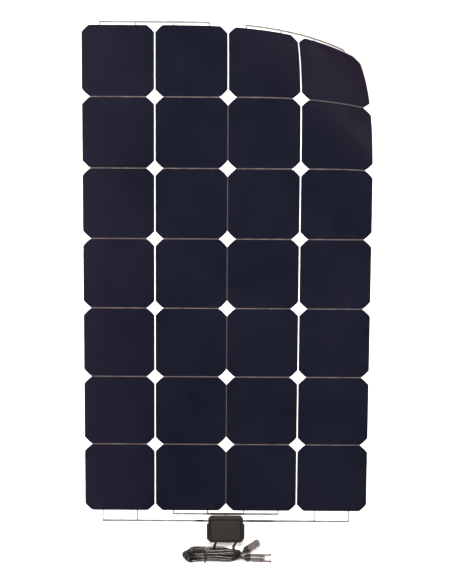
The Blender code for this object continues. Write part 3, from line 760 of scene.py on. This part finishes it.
def make_ribbons():
    # The top ribbons lie clear of x = 0, so they get none of the painted dark reflection.
    silver = tinned("ribbon_silver", 0, 1e-4)
    for side, columns in (("left", (0, 1)), ("right", (2, 3))):
        tabs = [column_x(c) + s * 31 * MM for c in columns for s in (-1, 1)]
        outline = comb(
            tabs[0] - 1.1 * MM,
            tabs[-1] + 1.1 * MM,
            BLOCK_TOP + 5.2 * MM,
            tabs,
            BLOCK_TOP - 3 * MM,
        )
        mesh = curled(plate("top_ribbon", [outline], *RIBBON_Z))
        name = f"top_ribbon_{side}"
        shown(f"{name}_look", mesh, silver, replaces=[name])

    copper = grained(
        "interconnect",
        (0.055, 0.042, 0.043),
        (0.1, 0.08, 0.082),
        60,
        (0.3, 0.45),
        0.1,
        Metallic=0.3,
    )
    dark = grained("seam", (0.012, 0.011, 0.013), (0.02, 0.018, 0.021), 60, (0.4, 0.55))
    # The photo shows each joint as one even line, and the middle seam dark from the second row on.
    # What either really is can't be seen.
    joints, seams = [], []
    for row in range(1, 7):
        y = BLOCK_TOP + MM - row * CELL_PITCH
        for column in range(4):
            outline = rounded(STRAIGHT_SIDE, 8 * MM, 1 * MM, (column_x(column), y), 2)
            joints.append(plate("joint", [outline], *RIBBON_Z))
        outline = rounded(3 * MM, STRAIGHT_SIDE, 1 * MM, (0, y - CELL_PITCH / 2), 2)
        seams.append(plate("seam", [outline], *RIBBON_Z))
    shown("cell_interconnects", curled(joined("cell_interconnects", joints)), copper)
    shown("middle_seam_strips", joined("middle_seam_strips", seams), dark)

    # The middle and end ribbons get a painted dark reflection where they run near the box.
    dressed("middle_ribbon", tinned("ribbon_middle", 0, 27 * MM))
    dressed("end_ribbon_left", tinned("ribbon_left", -47 * MM, 6 * MM))
    dressed("end_ribbon_right", tinned("ribbon_right", 62 * MM, 20 * MM))


def dressed(node, material):
    """Gives a CAD node that stays shown its finish."""
    mesh = NODES[node].data
    mesh.materials.clear()
    mesh.materials.append(material)


# ---------------------------------------------------------------------------------------------
# The junction box
# ---------------------------------------------------------------------------------------------


def box_outline(inset):
    half = BOX_WIDTH / 2 - inset
    top, bottom = BOX_TOP - inset, BOX_BOTTOM + inset
    corner, cut = 7 * MM - inset, 5 * MM - inset * (2 - math.sqrt(2))
    points = arc((half - corner, top - corner), corner, 0, math.pi / 2, 10)
    points += arc((corner - half, top - corner), corner, math.pi / 2, math.pi, 10)
    points += [(-half, bottom + cut), (cut - half, bottom), (half - cut, bottom)]
    return [*points, (half, bottom + cut)]


def make_box():
    black = grained(
        "box_plastic",
        (0.0032, 0.0027, 0.0023),
        (0.0062, 0.0053, 0.0046),
        900,
        (0.4, 0.55),
        0.3,
        Specular_IOR_Level=0.15,
    )
    textured = grained(
        "box_panel",
        (0.005, 0.0042, 0.0034),
        (0.0115, 0.0098, 0.0082),
        700,
        (0.5, 0.7),
        0.6,
        Specular_IOR_Level=0.15,
    )
    wall = [box_outline(0), box_outline(2 * MM)]
    floor = [box_outline(0.4 * MM), window_outline()]
    parts = [
        softened(plate("wall", wall, BASE_Z, BASE_TOP), 0.35 * MM),
        plate("floor", floor, BASE_Z + 0.1 * MM, BASE_Z + 1.5 * MM),
    ]
    for side in (-1, 1):
        left, right = sorted((side * EAR_X[0], side * EAR_X[1]))
        ear_low = (left, BOX_BOTTOM + 3.5 * MM, BASE_Z)
        ear_high = (right, BOX_BOTTOM + 31.5 * MM, BASE_Z + 7 * MM)
        parts.append(block(ear_low, ear_high, 0.8 * MM))
        left, right = sorted((side * EAR_X[0], side * (EAR_X[0] + SNAP_DEPTH)))
        for y in (9, 26):
            snap_low = (left, BOX_BOTTOM + (y - 1) * MM, BASE_Z + 7 * MM)
            snap_high = (right, BOX_BOTTOM + (y + 1) * MM, BASE_Z + 9 * MM)
            parts.append(block(snap_low, snap_high, 0.3 * MM))
    shown("box_base_look", joined("base", parts), black, replaces=["box_base"])

    lid_top = LID_Z[1]
    lip = [box_outline(2.3 * MM), box_outline(3.5 * MM)]
    bead = [box_outline(2.9 * MM), box_outline(3.6 * MM)]
    parts = [
        softened(plate("lid", [box_outline(0)], *LID_Z), 1.2 * MM, 4),
        plate("lip", lip, *LIP_Z),
        softened(plate("bead", bead, lid_top - 0.4 * MM, lid_top + 0.35 * MM), 0.2 * MM),
    ]
    shown("box_lid_look", joined("lid", parts), black, "lid", ["box_lid"])
    panel = plate("panel", [box_outline(5.2 * MM)], lid_top, lid_top + MM)
    parts = [softened(panel, 0.9 * MM, 3)]
    for x in (-17.4, 17.4):
        boss = turned("boss", ((0, 0.5), (0.9, 0.5), (1.3, 0.2), (1.5, 0), (0, 0)), 24)
        boss.transform(
            Matrix.Translation((x * MM, BOX_TOP - 26.6 * MM, lid_top + MM)) @ Matrix.Scale(MM, 4)
        )
        parts.append(boss)
    shown("box_panel_look", joined("panel", parts), textured, "lid", ["box_lid"])

    rubber = grained("rubber", (0.012, 0.011, 0.011), (0.02, 0.019, 0.018), 300, (0.5, 0.7), 0.2)
    profile = [(0, 2.5), (2.8, 2.5), (3, 2.3), (3.2, 1.7), (3.55, 1.6), (3.6, 1.2)]
    profile += [(3.95, 1.1), (4.1, 0.4), (4.2, 0.3), (3.3, 0.3), (3.3, -2.3), (4.2, -2.3)]
    profile += [(4.2, -3.6), (0, -3.6)]
    outwards = Matrix.Rotation(math.pi / 2, 4, "X")
    for name, x in (("lead_bushing_left", -BUSHING_X), ("lead_bushing_right", BUSHING_X)):
        mesh = lathe(profile)
        mesh.transform(Matrix.Translation((x, BOX_BOTTOM, LEAD_Z)) @ outwards)
        shown(f"{name}_look", mesh, rubber, replaces=[name])
    dressed("lid_gasket", rubber)
    white = grained("adhesive", (0.74, 0.74, 0.72), (0.82, 0.82, 0.8), 200, (0.5, 0.7), 0.2)
    dressed("adhesive_pad", white)
    brass = grained(
        "brass", (0.3, 0.2, 0.07), (0.42, 0.3, 0.12), 150, (0.25, 0.45), 0.1, Metallic=1
    )
    for node in ("left_terminal", "centre_terminal", "right_terminal"):
        dressed(node, brass)
    case = grained("diode_case", (0.015, 0.015, 0.015), (0.03, 0.03, 0.03), 300, (0.3, 0.45))
    for node in ("bypass_diode_left", "bypass_diode_right"):
        dressed(node, case)


# ---------------------------------------------------------------------------------------------
# The tie and the connectors
# ---------------------------------------------------------------------------------------------


def make_tie():
    """A band round the hank with its square head on top and its cut end beyond."""
    nylon = grained(
        "nylon", (0.004, 0.0035, 0.003), (0.011, 0.0095, 0.0085), 250, (0.25, 0.4), 0.1
    )
    outer = rounded(29.4 * MM, 17 * MM, 3.9 * MM, (0, 0), 8)
    inner = rounded(27.6 * MM, 15.2 * MM, 3 * MM, (0, 0), 8)
    parts = [
        softened(plate("band", [outer, inner], -1.3 * MM, 1.3 * MM), 0.2 * MM),
        bar((-2.3, 8, -2.25), (2.3, 12.4, 2.25), 0.5),
        bar((2, 9.6, -1.25), (6, 10.6, 1.25), 0.2),
    ]
    mesh = joined("tie", parts)
    upright = Matrix.Rotation(math.pi / 2, 4, "Z") @ Matrix.Rotation(math.pi / 2, 4, "X")
    mesh.transform(Matrix.Translation((TIE_X, HANK_Y, 9 * MM)) @ upright)
    return shown("cable_tie_look", mesh, nylon, replaces=["cable_tie"])


def ringed(low, high, radius, rings):
    """A turned body's side from low to high with raised rings at the given heights."""
    points = [(radius, low)]
    for height in rings:
        points += [(radius, height - 0.6), (radius + 0.35, height - 0.35)]
        points += [(radius + 0.35, height + 0.35), (radius, height + 0.6)]
    return [*points, (radius, high)]


def nut_parts():
    body = [(0, 0), (3.3, 0), (3.9, 0.5), (4.3, 1.2), (6.4, 4.6), (6.6, 5.2), (6.6, 11.5)]
    parts = [lathe([*body, (6.2, 12), (0, 12)])]
    for rib in range(12):
        piece = bar((6.2, -0.75, 5.0), (7.0, 0.75, 11.6), 0.3)
        turn = Matrix.Rotation(math.tau * rib / 12, 3, "Z")
        bmesh.ops.rotate(piece, verts=piece.verts, matrix=turn)
        parts.append(piece)
    return parts


def pronged_parts():
    side = ringed(15.2, 29.7, 6.0, (18.4, 21, 23.6, 26.2))
    side = [(0, 12.3), (6.5, 12.3), (7, 12.8), (7, 14.8), (6.6, 15.3), *side, (5.7, 30.3)]
    side += [(4, 30.3), (4, 37.9), (3.7, 38.3), (2.9, 38.3), (2.9, 18.3), (0, 18.3)]
    parts = [lathe(side)]
    for turn in (-1, 1):
        ys = sorted((turn * 5, turn * 7.2))
        parts.append(bar((-2.2, ys[0], 16), (2.2, ys[1], 50.3), 0.4))
        ys = sorted((turn * 4.8, turn * 8.2))
        parts.append(bar((-2.2, ys[0], 46.2), (2.2, ys[1], 50.2), 0.5))
        ys = sorted((turn * 5.2, turn * 7.6))
        parts.append(bar((-2.6, ys[0], 30.5), (2.6, ys[1], 33.5), 0.4))
        parts.append(bar((turn * 6.1 - 0.5, -2.4, 17), (turn * 6.1 + 0.5, 2.4, 28.5), 0.3))
    return parts


def barrel_parts():
    side = ringed(15.2, 33.3, 6.25, (18.6, 31.2))
    side = [(0, 12.3), (6.5, 12.3), (7, 12.8), (7, 14.8), (6.6, 15.3), *side, (5.9, 33.8)]
    side += [(4.4, 33.8), (4.4, 18.3), (0, 18.3)]
    parts = [lathe(side)]
    for turn in (-1, 1):
        ys = sorted((turn * 5.6, turn * 7.3))
        parts.append(bar((-2.4, ys[0], 20), (2.4, ys[1], 22), 0.4))
        parts.append(bar((-2.4, ys[0], 27.5), (2.4, ys[1], 29.5), 0.4))
        parts.append(bar((turn * 6.2 - 0.5, -2.2, 21), (turn * 6.2 + 0.5, 2.2, 29), 0.3))
    return parts


def make_connectors():
    """Each connector's nut and housing, and the finishes of its contacts."""
    black = grained(
        "nut_black",
        (0.003, 0.0026, 0.0024),
        (0.007, 0.006, 0.0055),
        200,
        (0.2, 0.34),
        Specular_IOR_Level=0.3,
    )
    # The housings are dark grey plastic; the lighter, pinkish end of this noise is a painted
    # highlight.
    grey_and_painted_sheen = grained(
        "housing_grey", (0.01, 0.008, 0.0075), (0.1, 0.08, 0.075), 420, (0.2, 0.4), 0.3
    )
    metal = grained("contact", (0.6, 0.6, 0.6), (0.8, 0.8, 0.8), 200, (0.2, 0.35), Metallic=1)
    groups = []
    for kind, place, turn, housing in (
        ("pronged", PRONGED_PLACE, 0, pronged_parts()),
        ("barrel", BARREL_PLACE, BARREL_TURN, barrel_parts()),
    ):
        pose = Matrix.Translation(place) @ Matrix.Rotation(turn, 4, "Z")
        pose = pose @ Matrix.Rotation(math.pi / 2, 4, "Y")
        group = []
        for part, parts, finish, slot, body in (
            ("nut", nut_parts(), black, "cap_nut", f"{kind}_nut"),
            ("housing", housing, grey_and_painted_sheen, "connector", "root"),
        ):
            name = f"{kind}_connector_{part}"
            mesh = joined(name, parts)
            mesh.transform(pose)
            group.append(shown(f"{name}_look", mesh, finish, body, [name]))
        groups.append(group)
    dressed("pronged_connector_socket", metal)
    dressed("barrel_connector_pin", metal)
    dressed("pronged_connector_seal", black)
    groups[0] += [NODES["pronged_connector_socket"], NODES["pronged_connector_seal"]]
    groups[1] += [NODES["barrel_connector_pin"]]
    return groups


make_camera()
make_stage()
cable = grained(
    "cable",
    (0.0026, 0.0019, 0.0015),
    (0.006, 0.0042, 0.0033),
    60,
    (0.045, 0.09),
    0.03,
    Specular_IOR_Level=0.28,
)
leads = make_leads(cable)
make_sheet()
make_cells()
make_ribbons()
make_box()
carried = make_connectors()
carried[0].append(make_tie())
